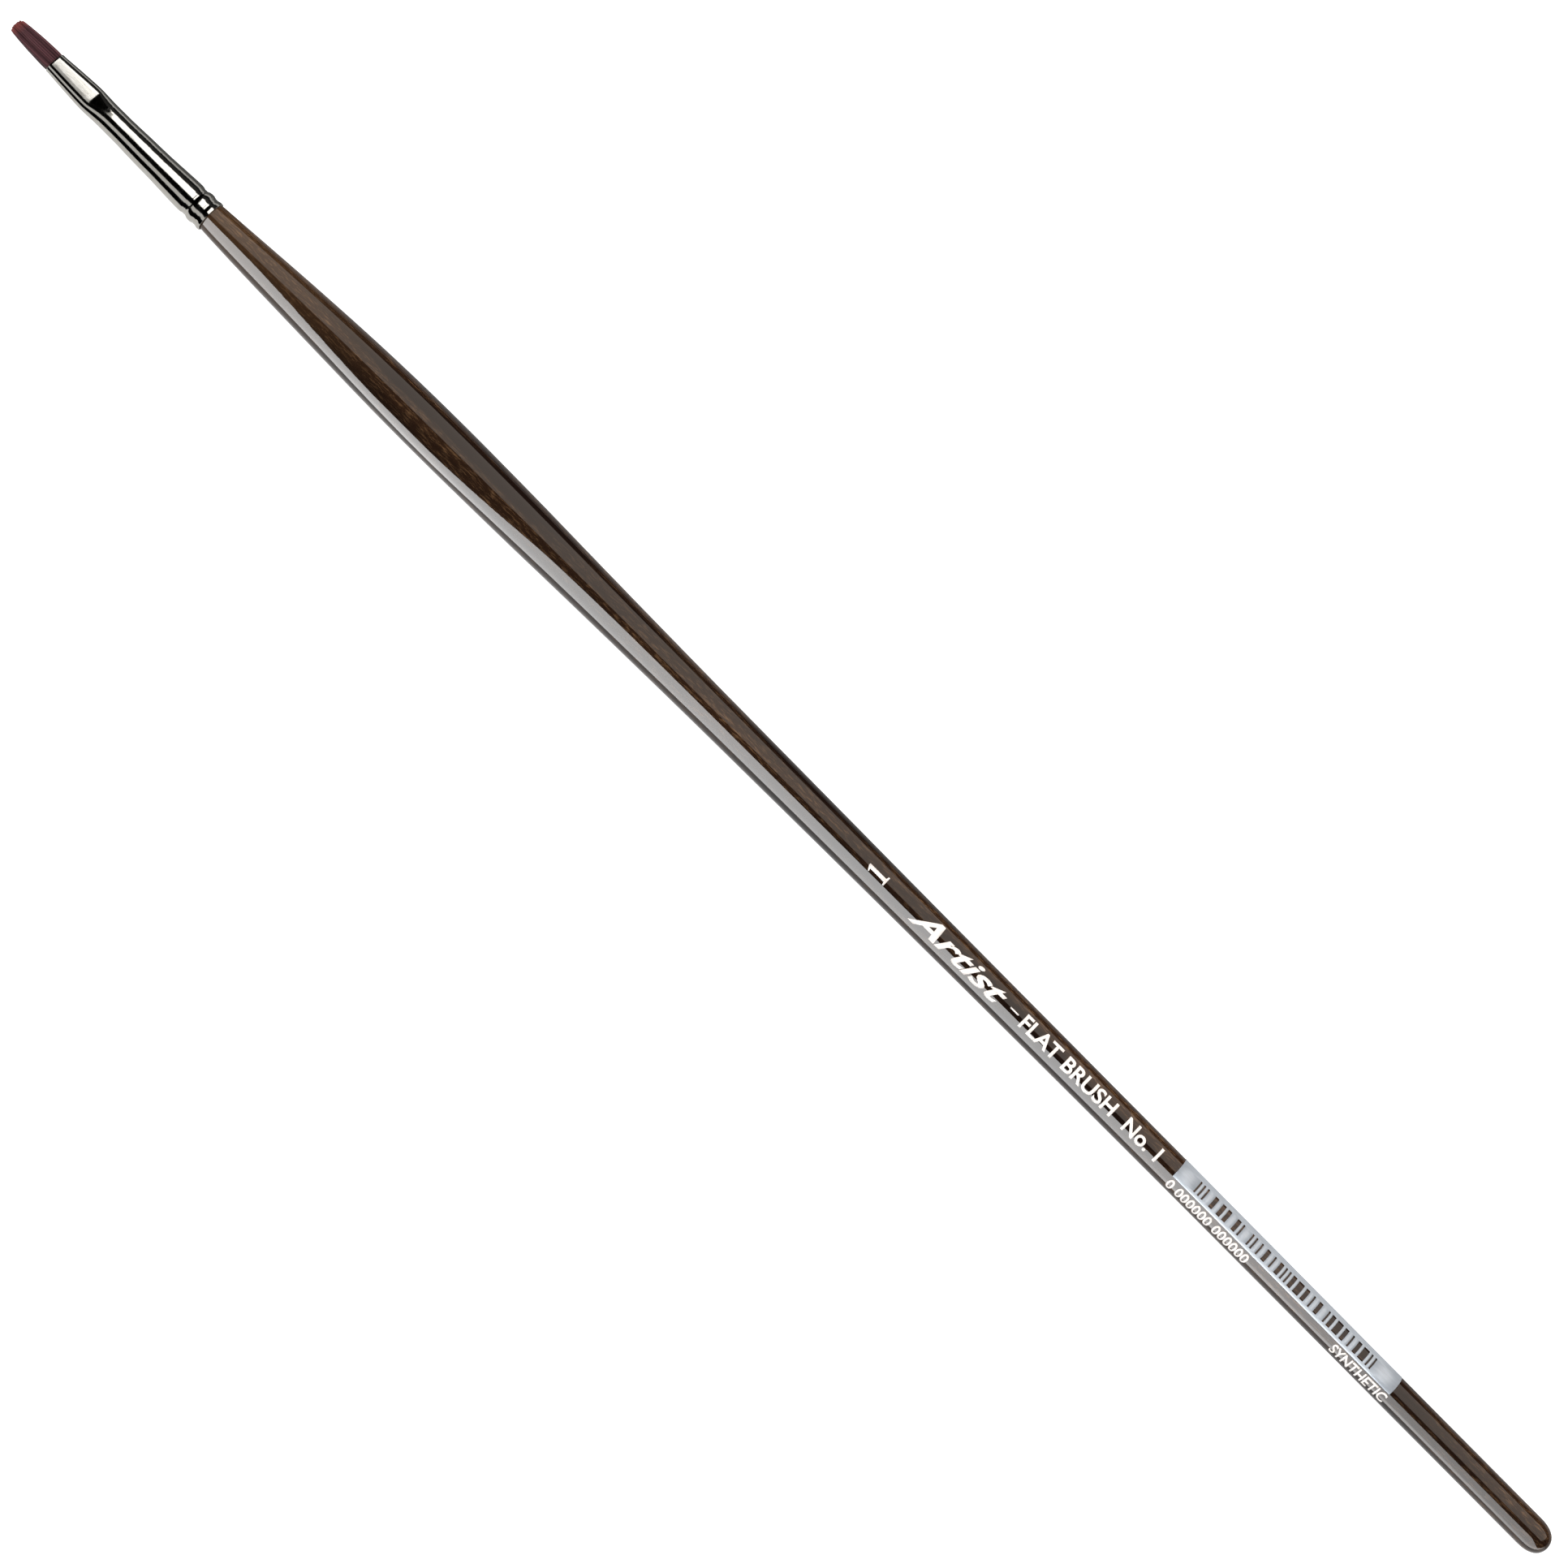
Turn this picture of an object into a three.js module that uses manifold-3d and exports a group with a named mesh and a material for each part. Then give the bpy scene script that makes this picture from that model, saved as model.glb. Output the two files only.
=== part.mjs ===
// A long-handled flat artist's brush, size 1, put together as the real one is: a turned wooden handle, a
// seamless plated ferrule that is pressed flat at its mouth, and a tuft of synthetic filaments whose
// potted roots sit inside the ferrule. Millimetres, +Z up. The brush lies along X, tuft towards -X and
// butt towards +X, with the flat of its tuft in the XY plane. It rests on z = 0 with its belly, and the
// origin is under the middle of its length.
import * as THREE from 'three';
import { mergeVertices } from 'three/addons/utils/BufferGeometryUtils.js';
import Module from 'manifold-3d';

const wasm = await Module();
wasm.setup();

// Driving dimensions. A station is a distance along the brush from the tip of the tuft.
const LENGTH = 272;
const BELLY_RADIUS = 3.46;
const ROUND_SIDES = 16; // an even number of facets, with one facing straight down
const GAP = 0.03; // kept between pieces that touch
const MOUTH = 7; // where the filaments leave the ferrule
const CREASE = 14; // where the pressed flats end
const FERRULE_END = 34.65;
const FERRULE_WALL = 0.2;
const LIP_WALL = 0.12; // the flared lip is drawn thinner
const MOUTH_THICKNESS = 2; // over the two pressed flats
const TENON_START = 19.8;
const CEMENT_THICKNESS = 0.1;
const BUTT_DOME = 3.2; // length of the rounded butt
const BEND_LIMIT = THREE.MathUtils.degToRad(28); // how far the tuft bends before its tip meets the table
const LOCKS_ACROSS = 8; // clumps of filaments over the width of the tuft
const LOCK_ROWS = 2; // and through its thickness
const LOCK_SIDES = 8;

// Cross-sections of the ferrule from mouth to lip: station, width along Y, thickness along Z, and the
// width of the two pressed flats. The flats are planes that open a little towards the crease.
const FLAT_TAPER = 0.07; // thickness gained in each millimetre from the mouth
const flatThickness = (station) => MOUTH_THICKNESS + FLAT_TAPER * (station - MOUTH);
const FERRULE_RINGS = [
  [MOUTH, 2.98, flatThickness(MOUTH), 1],
  [10, 3.45, flatThickness(10), 1.3],
  [13.2, 3.82, flatThickness(13.2), 1.6],
  [CREASE, 3.8, flatThickness(CREASE), 1.65],
  [14.8, 3.72, 2.85, 0.9],
  [15.8, 3.62, 3.25, 0.3],
  [16.8, 3.58, 3.5, 0],
  [17.6, 3.58, 3.58, 0], // round from here on
  [19.4, 3.6, 3.6, 0],
  [22.3, 3.79, 3.79, 0],
  [25.5, 3.93, 3.93, 0],
  [28.8, 4.22, 4.22, 0],
  [30.2, 4.34, 4.34, 0],
  [31, 4.34, 4.34, 0],
  [31.5, 4.22, 4.22, 0],
  [31.9, 4.11, 4.11, 0], // first crimp
  [32.3, 4.36, 4.36, 0],
  [32.7, 4.51, 4.51, 0],
  [33.1, 4.51, 4.51, 0], // bead between the crimps
  [33.5, 4.27, 4.27, 0], // second crimp
  [34, 4.41, 4.41, 0],
  [FERRULE_END, 4.42, 4.42, 0],
];

// The turned outline of the handle outside the ferrule, as station and radius. It swells from the neck to
// a belly that is straight for a few millimetres, and then tapers to the butt.
const NECK_OUTLINE = [[35.3, 2.04], [47.6, 2.69], [60, 3.22], [72, BELLY_RADIUS]];
const TAPER_OUTLINE = [
  [78, BELLY_RADIUS], [90.5, 3.29], [108.9, 2.92], [133.5, 2.63], [164, 2.41], [201, 2.28], [240, 2.22],
  [LENGTH - BUTT_DOME, 2.2],
];

// The outline of the free tuft: station, width along Y, thickness along Z.
const TUFT_RINGS = [
  [0, 2.02, 0.55],
  [0.6, 2.26, 0.68],
  [1.8, 2.51, 0.92],
  [3.7, 2.73, 1.25],
  [6.1, 2.88, 1.58],
  [MOUTH, 2.84, 1.62],
];

const material = (color, roughness, metalness = 0) =>
  new THREE.MeshStandardMaterial({ color, roughness, metalness });
const lacqueredWood = material('#3a2416', 0.15);
const platedBrass = material('#d5d3cf', 0.15, 1);
const filament = material('#5c2f31', 0.45);
const resin = material('#b08a4a', 0.3);
const thread = material('#d8d0bd', 0.9);
const cement = material('#9c8f7a', 0.6);
const foil = material('#c9cdd2', 0.35, 0.6);

// Width, thickness and width of the flats at a station, read off a list of rings.
function ringAt(rings, station) {
  const passed = rings.filter((ring) => ring[0] < station).length;
  const next = THREE.MathUtils.clamp(passed, 1, rings.length - 1);
  const [s0, ...before] = rings[next - 1];
  const [s1, ...after] = rings[next];
  const share = (station - s0) / (s1 - s0);
  const [width, thickness, flat] = before.map((size, i) => THREE.MathUtils.lerp(size, after[i], share));
  return { width, thickness, flat };
}

// Turns an outline of [station, radius] points about the brush's axis. Facets lie at the true radius.
function turned(outline) {
  const cornerRadius = 1 / Math.cos(Math.PI / ROUND_SIDES);
  const points = outline.map(([station, radius]) => new THREE.Vector2(radius * cornerRadius, station));
  return new THREE.LatheGeometry(points, ROUND_SIDES, Math.PI / ROUND_SIDES).rotateZ(-Math.PI / 2);
}

// Presses a turned shape: its two halves are pulled apart by the width of the flats, and their rounded
// edges are drawn in or out until the shape has its full width. A shape with a wall keeps its thickness.
function press(geometry, rings) {
  const position = geometry.attributes.position;
  for (let i = 0; i < position.count; i += 1) {
    const y = position.getY(i);
    const { width, thickness, flat } = ringAt(rings, position.getX(i));
    if (Math.abs(y) > 1e-6) {
      const edge = (width - flat) / thickness;
      position.setY(i, y * edge + (Math.sign(y) * flat) / 2);
    }
  }
  return geometry;
}

// The solid of a closed geometry. Merging closes the seams and poles, whose empty triangles are dropped.
function solidOf(geometry) {
  geometry.deleteAttribute('normal');
  geometry.deleteAttribute('uv');
  const merged = mergeVertices(geometry, 1e-4);
  const corners = [...merged.index.array];
  const triangles = [];
  for (let i = 0; i < corners.length; i += 3) {
    const [a, b, c] = corners.slice(i, i + 3);
    if (a !== b && b !== c && c !== a) triangles.push(a, b, c);
  }
  return new wasm.Manifold(new wasm.Mesh({
    numProp: 3,
    vertProperties: merged.attributes.position.array,
    triVerts: Uint32Array.from(triangles),
  }));
}

function geometryOf(solid) {
  const mesh = solid.getMesh();
  const geometry = new THREE.BufferGeometry();
  geometry.setAttribute('position', new THREE.BufferAttribute(mesh.vertProperties, 3));
  geometry.setIndex(new THREE.BufferAttribute(mesh.triVerts, 1));
  geometry.computeVertexNormals();
  return geometry;
}

// ---- handle: one turned piece of wood, with a tenon that the crimps grip -----------------------------
// The outline outside the ferrule, as points close enough together to look smooth.
const smooth = (outline, steps) => {
  const knots = outline.map(([station, radius]) => new THREE.Vector2(station, radius));
  return new THREE.SplineCurve(knots).getPoints(steps).map((point) => [point.x, point.y]);
};
const turnedOutline = [...smooth(NECK_OUTLINE, 9), ...smooth(TAPER_OUTLINE, 21)];

const tenonOffset = FERRULE_WALL + CEMENT_THICKNESS + 2 * GAP;
const crimpedRings = FERRULE_RINGS.filter(([station]) => station > TENON_START && station < 34.3);

function handleOutline() {
  const tenon = crimpedRings.map(([station, width]) => [station, width / 2 - tenonOffset]);
  const tenonTip = ringAt(FERRULE_RINGS, TENON_START).width / 2 - tenonOffset;
  const buttRadius = TAPER_OUTLINE.at(-1)[1];
  const dome = [];
  for (let step = 1; step <= 6; step += 1) {
    const angle = (step / 6) * (Math.PI / 2);
    const station = LENGTH - BUTT_DOME * (1 - Math.sin(angle));
    dome.push([station, step === 6 ? 0 : buttRadius * Math.cos(angle)]);
  }
  return [
    [TENON_START, 0], [TENON_START, tenonTip - 0.3], [TENON_START + 0.4, tenonTip],
    ...tenon, [FERRULE_END, 1.98], ...turnedOutline, ...dome,
  ];
}

// ---- ferrule: a drawn tube with one wall all round, flat at the mouth and round at the handle ----------
function ferruleGeometry() {
  const outside = FERRULE_RINGS.map(([station, , thickness]) => [station, thickness / 2]);
  const inside = FERRULE_RINGS.map(([station, , thickness]) => {
    const wall = station === FERRULE_END ? LIP_WALL : FERRULE_WALL;
    return [station, thickness / 2 - wall];
  });
  return press(turned([...outside, ...inside.reverse(), outside[0]]), FERRULE_RINGS);
}

// ---- what the ferrule hides: the bundled roots, their thread, the resin plug and the cement ------------
const PINCH_START = 15.5; // the thread pulls the roots into a round bundle here
const PINCH_END = 16.5;
const PINCH_RADIUS = 0.95;
const ROOTS_END = 17.6;
const ROOTS_END_RADIUS = 1.1;
const THREAD_DIAMETER = 0.16;
const THREAD_TURNS = 4;
const PLUG_START = 17;
const PLUG_END = 19.5;

const ferruleBore = (station, dimension) =>
  ringAt(FERRULE_RINGS, station)[dimension] / 2 - FERRULE_WALL - GAP;

function rootsGeometry() {
  const start = MOUTH + GAP;
  const clamped = [start, 10, 13.2, CREASE].map((station) => {
    const { flat } = ringAt(FERRULE_RINGS, station);
    return [station, 2 * ferruleBore(station, 'width'), 2 * ferruleBore(station, 'thickness'), flat];
  });
  const rings = [
    ...clamped,
    [PINCH_START, 2 * PINCH_RADIUS, 2 * PINCH_RADIUS, 0],
    [PINCH_END, 2 * PINCH_RADIUS, 2 * PINCH_RADIUS, 0],
    [ROOTS_END, 2 * ROOTS_END_RADIUS, 2 * ROOTS_END_RADIUS, 0],
  ];
  const outline = rings.map(([station, , thickness]) => [station, thickness / 2]);
  return press(turned([[start, 0], ...outline, [ROOTS_END, 0]]), rings);
}

class Winding extends THREE.Curve {
  getPoint(t) {
    const angle = 2 * Math.PI * THREAD_TURNS * t;
    const radius = PINCH_RADIUS / Math.cos(Math.PI / ROUND_SIDES) + THREAD_DIAMETER / 2 + GAP;
    const start = (PINCH_START + PINCH_END - THREAD_TURNS * (THREAD_DIAMETER + GAP)) / 2;
    const station = start + (THREAD_DIAMETER + GAP) * THREAD_TURNS * t;
    return new THREE.Vector3(station, radius * Math.cos(angle), radius * Math.sin(angle));
  }
}

function threadGeometry() {
  const section = new THREE.Shape().absarc(0, 0, THREAD_DIAMETER / 2, 0, 2 * Math.PI);
  const steps = 14 * THREAD_TURNS;
  return new THREE.ExtrudeGeometry(section, { extrudePath: new Winding(), steps, curveSegments: 3 });
}

function resinPlugGeometry() {
  const cup = ROOTS_END_RADIUS + 0.08;
  return turned([
    [ROOTS_END + 2 * GAP, 0], [ROOTS_END + 2 * GAP, cup], [PLUG_START, cup],
    [PLUG_START, ferruleBore(PLUG_START, 'thickness')],
    [17.6, ferruleBore(17.6, 'thickness')],
    [PLUG_END, ferruleBore(PLUG_END, 'thickness')], [PLUG_END, 0],
  ]);
}

function cementGeometry() {
  const stations = [TENON_START + 0.6, ...crimpedRings.map(([station]) => station)];
  const outside = stations.map((station) => [station, ferruleBore(station, 'width')]);
  const inside = outside.map(([station, radius]) => [station, radius - CEMENT_THICKNESS]).reverse();
  return turned([...outside, ...inside, outside[0]]);
}

// ---- marks: thin foil that is hot-stamped on the lacquered handle ---------------------------------------
const FOIL_THICKNESS = 0.05;
const PANEL = { start: 205.3, end: 243.9, lowAngle: -31.5, highAngle: 76 }; // degrees from +Z towards +Y
const NUMERAL = { top: 150.8, height: 3.1, centreY: -0.63 };

// A skin of foil that stands a gap off the handle between two stations.
function foilSkin(start, end) {
  const onHandle = turnedOutline.filter((_, i) => {
    const before = turnedOutline[Math.max(0, i - 1)][0];
    const after = turnedOutline[Math.min(turnedOutline.length - 1, i + 1)][0];
    return after > start && before < end;
  });
  const grown = (by) => {
    const outline = onHandle.map(([station, radius]) => [station, radius + by]);
    return solidOf(turned([[outline[0][0], 0], ...outline, [outline.at(-1)[0], 0]]));
  };
  return grown(GAP + FOIL_THICKNESS).subtract(grown(GAP));
}

// A prism along X whose section is a slice of a disc.
function sector(start, end, lowAngle, highAngle) {
  const [from, to] = [highAngle, lowAngle].map((a) => Math.PI / 2 - THREE.MathUtils.degToRad(a));
  const radius = 2 * BELLY_RADIUS;
  const shape = new THREE.Shape();
  shape.moveTo(0, 0);
  shape.lineTo(radius * Math.cos(from), radius * Math.sin(from));
  shape.absarc(0, 0, radius, from, to);
  const prism = new THREE.ExtrudeGeometry(shape, { depth: end - start, bevelEnabled: false });
  // the section's x is the brush's Y and its y is Z, so the extrusion runs along X
  prism.applyMatrix4(new THREE.Matrix4().makeBasis(
    new THREE.Vector3(0, 1, 0), new THREE.Vector3(0, 0, 1), new THREE.Vector3(1, 0, 0)));
  return solidOf(prism.translate(start, 0, 0));
}

function panelGeometry() {
  const slice = sector(PANEL.start, PANEL.end, PANEL.lowAngle, PANEL.highAngle);
  return geometryOf(foilSkin(PANEL.start, PANEL.end).intersect(slice));
}

// A serif figure one, drawn one unit tall about its own middle, whose top points at the tuft.
function numeralGeometry() {
  const outline = [
    [-0.21, 0], [0.21, 0], [0.21, 0.06], [0.08, 0.1], [0.08, 1], [0, 1],
    [-0.2, 0.88], [-0.2, 0.83], [-0.08, 0.86], [-0.08, 0.1], [-0.21, 0.06],
  ];
  const corners = outline.map(([x, y]) => new THREE.Vector2(x * NUMERAL.height, y * NUMERAL.height));
  const prism = new THREE.ExtrudeGeometry(new THREE.Shape(corners), {
    depth: BELLY_RADIUS, bevelEnabled: false,
  });
  prism.rotateZ(Math.PI / 2).translate(NUMERAL.top + NUMERAL.height, NUMERAL.centreY, 0);
  const skin = foilSkin(NUMERAL.top, NUMERAL.top + NUMERAL.height);
  return geometryOf(skin.intersect(solidOf(prism)));
}

// ---- tuft: locks of filaments that fill the tuft's outline, two rows of eight ----------------------------
// A lock runs from a root cut back at the bend limit, so that it clears the mouth, to a rounded tip.
const LOCK_GAP = 0.03;
const ROOT_CLEARANCE = 0.3;
const LOCK_STEPS = 7;

function lockGeometry(column, row) {
  const u = (2 * column + 1) / LOCKS_ACROSS - 1;
  const v = (2 * row + 1) / LOCK_ROWS - 1;
  const edge = (1 - Math.abs(u) ** 4) ** 0.25; // the section's ends are round
  const tip = 0.5 * Math.abs(u) ** 5; // and so are the tip's corners
  const geometry = new THREE.CylinderGeometry(1, 1, 1, LOCK_SIDES, LOCK_STEPS, false, Math.PI / LOCK_SIDES);
  const position = geometry.attributes.position;
  for (let i = 0; i < position.count; i += 1) {
    const share = position.getY(i) + 0.5; // 0 at the root, 1 at the tip
    const { width, thickness } = ringAt(TUFT_RINGS, THREE.MathUtils.lerp(MOUTH, tip, share));
    const taper = 1 - 0.45 * Math.max(0, share - 0.85) / 0.15;
    const halfWidth = taper * (width / (2 * LOCKS_ACROSS) - LOCK_GAP / 2);
    const halfThickness = taper * ((edge * thickness) / (2 * LOCK_ROWS) - LOCK_GAP / 2);
    const y = (u * width) / 2 + position.getX(i) * halfWidth;
    const z = (v * edge * thickness) / 2 + position.getZ(i) * halfThickness;
    const root = MOUTH - ROOT_CLEARANCE - Math.tan(BEND_LIMIT) * Math.abs(z);
    position.setXYZ(i, THREE.MathUtils.lerp(root, tip, share), y, z);
  }
  return geometry;
}

// ---- the brush -------------------------------------------------------------------------------------------
const brush = new THREE.Group();
const onAxis = new THREE.Group();
onAxis.position.set(-LENGTH / 2, 0, BELLY_RADIUS);
brush.add(onAxis);

function addPiece(name, geometry, finish) {
  const mesh = new THREE.Mesh(geometry, finish);
  mesh.name = name;
  onAxis.add(mesh);
}

addPiece('handle', turned(handleOutline()), lacqueredWood);
addPiece('ferrule', ferruleGeometry(), platedBrass);
addPiece('filament_roots', rootsGeometry(), filament);
addPiece('binding_thread', threadGeometry(), thread);
addPiece('resin_plug', resinPlugGeometry(), resin);
addPiece('tenon_cement', cementGeometry(), cement);
addPiece('barcode_panel', panelGeometry(), foil);
addPiece('size_numeral', numeralGeometry(), foil);
for (let row = 0; row < LOCK_ROWS; row += 1) {
  for (let column = 0; column < LOCKS_ACROSS; column += 1) {
    addPiece(`tuft_lock_${row ? 'top' : 'bottom'}_${column + 1}`, lockGeometry(column, row), filament);
  }
}

export default brush;
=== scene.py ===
import math
import random

import bmesh
import bpy
from mathutils import Matrix, Vector


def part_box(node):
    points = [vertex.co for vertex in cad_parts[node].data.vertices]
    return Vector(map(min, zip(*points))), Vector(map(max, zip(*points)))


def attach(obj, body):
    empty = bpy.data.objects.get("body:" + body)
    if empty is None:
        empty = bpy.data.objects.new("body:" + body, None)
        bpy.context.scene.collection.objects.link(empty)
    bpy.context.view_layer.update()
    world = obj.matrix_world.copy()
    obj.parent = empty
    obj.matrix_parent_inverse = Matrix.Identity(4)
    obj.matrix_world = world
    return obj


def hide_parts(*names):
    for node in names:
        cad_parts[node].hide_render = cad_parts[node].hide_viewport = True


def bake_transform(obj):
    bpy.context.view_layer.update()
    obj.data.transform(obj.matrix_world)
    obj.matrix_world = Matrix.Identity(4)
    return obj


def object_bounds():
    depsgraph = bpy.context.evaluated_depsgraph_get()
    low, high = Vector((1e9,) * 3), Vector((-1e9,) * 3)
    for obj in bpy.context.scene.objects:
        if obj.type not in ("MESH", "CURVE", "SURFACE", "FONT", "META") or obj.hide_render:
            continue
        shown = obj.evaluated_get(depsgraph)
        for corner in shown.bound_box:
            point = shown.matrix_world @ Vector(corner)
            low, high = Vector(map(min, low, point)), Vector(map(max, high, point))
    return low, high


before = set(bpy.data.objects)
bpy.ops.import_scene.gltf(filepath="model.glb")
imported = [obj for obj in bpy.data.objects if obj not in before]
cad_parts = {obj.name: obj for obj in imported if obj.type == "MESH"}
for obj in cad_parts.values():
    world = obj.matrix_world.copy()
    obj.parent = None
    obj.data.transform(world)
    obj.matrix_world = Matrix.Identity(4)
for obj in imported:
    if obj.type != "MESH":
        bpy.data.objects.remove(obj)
cad_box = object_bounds()


# ---- handle ---------------------------------------------------------------------------------------------
# One stick of close-grained hardwood, turned on a copying lathe and sanded. It is dipped in dark brown
# stain and in several coats of clear lacquer, and its tenon is cemented and crimped into the ferrule.
MM = 0.001
handle_low, handle_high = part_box("handle")
TIP_X = cad_box[0].x
AXIS_Z = (handle_low.z + handle_high.z) / 2

# Stations are millimetres along the brush from the tip of its tuft. The outlines are station and radius.
HANDLE_SIDES = 96
TENON_END = 20
BUTT_START = 268.8
BUTT_END = 272
BUTT_FULLNESS = 2 / 2.4  # 1 would make the rounded butt a plain ellipse
BUTT_RINGS = 12
TENON_OUTLINE = [(20.2, 1.44), (22.3, 1.535), (25.5, 1.605), (28.8, 1.75), (30.2, 1.81), (31.5, 1.75),
                 (31.9, 1.695), (32.3, 1.82), (32.7, 1.895), (33.1, 1.895), (33.5, 1.775), (34, 1.845)]
TURNED_OUTLINE = [(34.65, 1.98), (35.3, 2.04), (41, 2.36), (47.6, 2.69), (54, 2.97), (60, 3.2), (66, 3.37),
                  (72, 3.452), (75, 3.46), (78, 3.452), (84, 3.385), (90.5, 3.285), (99, 3.1), (108.9, 2.92),
                  (121, 2.745), (133.5, 2.63), (148, 2.51), (164, 2.41), (182, 2.335), (201, 2.28),
                  (222, 2.24), (240, 2.22), (256, 2.205), (BUTT_START, 2.2)]
BUTT_RADIUS = TURNED_OUTLINE[-1][1]


def station_x(station):
    return TIP_X + station * MM


def run_through(knots, spacing):
    """Rows of numbers along a smooth run through the knots, whose first number is the station."""
    slopes = []
    for i in range(len(knots)):
        before = knots[max(i - 1, 0)]
        after = knots[min(i + 1, len(knots) - 1)]
        slopes.append([(b - a) / (after[0] - before[0]) for a, b in zip(before, after)])
    rows = [tuple(knots[0])]
    for i in range(len(knots) - 1):
        length = knots[i + 1][0] - knots[i][0]
        steps = max(1, round(length / spacing))
        for step in range(1, steps + 1):
            t = step / steps
            row = []
            for a, b, slope_a, slope_b in zip(knots[i], knots[i + 1], slopes[i], slopes[i + 1]):
                bend_a = slope_a * length
                bend_b = slope_b * length
                value = a + t * bend_a
                value += t * t * (3 * (b - a) - 2 * bend_a - bend_b)
                value += t * t * t * (2 * (a - b) + bend_a + bend_b)
                row.append(value)
            rows.append(tuple(row))
    return rows


def select_vertices(piece, wanted):
    """In edit mode, leaves selected the vertices whose place passes the test."""
    bpy.ops.mesh.select_mode(type="VERT")
    bpy.ops.mesh.select_all(action="DESELECT")
    mesh = bmesh.from_edit_mesh(piece.data)
    for vertex in mesh.verts:
        vertex.select = wanted(piece.matrix_world @ vertex.co)
    mesh.select_flush_mode()
    bmesh.update_edit_mesh(piece.data)


def drawn_tube(name, outline, sides):
    """A ring drawn out along the brush's axis through stations and radii, left in edit mode."""
    bpy.ops.object.select_all(action="DESELECT")
    station, radius = outline[0]
    bpy.ops.mesh.primitive_circle_add(
        vertices=sides,
        radius=radius * MM,
        location=(station_x(station), 0, AXIS_Z),
        rotation=(0, math.pi / 2, 0),
    )
    piece = bpy.context.object
    piece.name = name
    bpy.ops.object.mode_set(mode="EDIT")
    bpy.ops.mesh.select_all(action="SELECT")
    for next_station, next_radius in outline[1:]:
        step = ((next_station - station) * MM, 0, 0)
        bpy.ops.mesh.extrude_region_move(TRANSFORM_OT_translate={"value": step})
        growth = next_radius / radius
        bpy.ops.transform.resize(
            value=(1, growth, growth),
            center_override=(station_x(next_station), 0, AXIS_Z),
        )
        station = next_station
        radius = next_radius
    return piece


def close_end(piece, station, pole_station):
    """Closes the open ring at a station with a fan of faces to a pole on the axis."""
    select_vertices(piece, lambda co: abs(co.x - station_x(station)) < 1e-6)
    step = ((pole_station - station) * MM, 0, 0)
    bpy.ops.mesh.extrude_region_move(TRANSFORM_OT_translate={"value": step})
    bpy.ops.mesh.merge(type="CENTER")


def settle(piece, smooth_angle):
    """Turns the faces outwards, puts the object at the origin and smooths its shallow edges."""
    bpy.ops.mesh.select_all(action="SELECT")
    bpy.ops.mesh.remove_doubles(threshold=1e-7)
    bpy.ops.mesh.normals_make_consistent(inside=False)
    bpy.ops.object.mode_set(mode="OBJECT")
    bpy.ops.object.select_all(action="DESELECT")
    piece.select_set(True)
    bpy.context.view_layer.objects.active = piece
    bpy.ops.object.transform_apply(location=True, rotation=True, scale=True)
    bpy.ops.object.shade_smooth_by_angle(angle=math.radians(smooth_angle))


butt_outline = []
for step in range(1, BUTT_RINGS):
    turn = step / BUTT_RINGS * math.pi / 2
    butt_outline.append((
        BUTT_START + (BUTT_END - BUTT_START) * math.sin(turn) ** BUTT_FULLNESS,
        BUTT_RADIUS * math.cos(turn) ** BUTT_FULLNESS,
    ))
handle_outline = run_through(TURNED_OUTLINE, 2.2)
handle = drawn_tube("lacquered_handle", TENON_OUTLINE + handle_outline + butt_outline, HANDLE_SIDES)
close_end(handle, TENON_OUTLINE[0][0], TENON_END)
close_end(handle, butt_outline[-1][0], BUTT_END)
settle(handle, 40)

# The stick has warped a little in seasoning, and its tenon leans in the ferrule. Station and sideways bow.
BOW = [(24, 0), (28, 0.04), (31, 0.09), (34, 0.16), (37, 0.18), (43, 0.28), (50, 0.42), (60, 0.56),
       (75, 0.64), (90, 0.67), (110, 0.67), (130, 0.65), (148, 0.62), (203, 0.44), (246, 0.16), (BUTT_END, 0)]
bow_rows = run_through(BOW, 2)


def bow_at(station):
    """How far the middle of the handle lies off the brush's axis, towards +Y, at a station."""
    for low, high in zip(bow_rows, bow_rows[1:]):
        if low[0] <= station <= high[0]:
            return low[1] + (station - low[0]) / (high[0] - low[0]) * (high[1] - low[1])
    return 0


for vertex in handle.data.vertices:
    vertex.co.y += bow_at((vertex.co.x - TIP_X) / MM) * MM


def linear(colour):
    """Turns an sRGB hex value into linear red, green, blue and alpha."""
    values = []
    for i in (1, 3, 5):
        value = int(colour[i:i + 2], 16) / 255
        values.append(value / 12.92 if value <= 0.04045 else ((value + 0.055) / 1.055) ** 2.4)
    return (*values, 1)


def new_material(name):
    material = bpy.data.materials.new(name)
    material.use_nodes = True
    material.node_tree.nodes.clear()
    return material


def add_node(material, kind, settings=(), links=()):
    """Adds a node. Settings are pairs of a property or input and its value, and links are pairs of an
    input and the output that feeds it. Inputs go by name or number."""
    node = material.node_tree.nodes.new(kind)
    for key, value in settings:
        if isinstance(key, str) and hasattr(node, key):
            setattr(node, key, value)
        else:
            node.inputs[key].default_value = value
    for key, output in links:
        material.node_tree.links.new(output, node.inputs[key])
    return node


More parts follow.
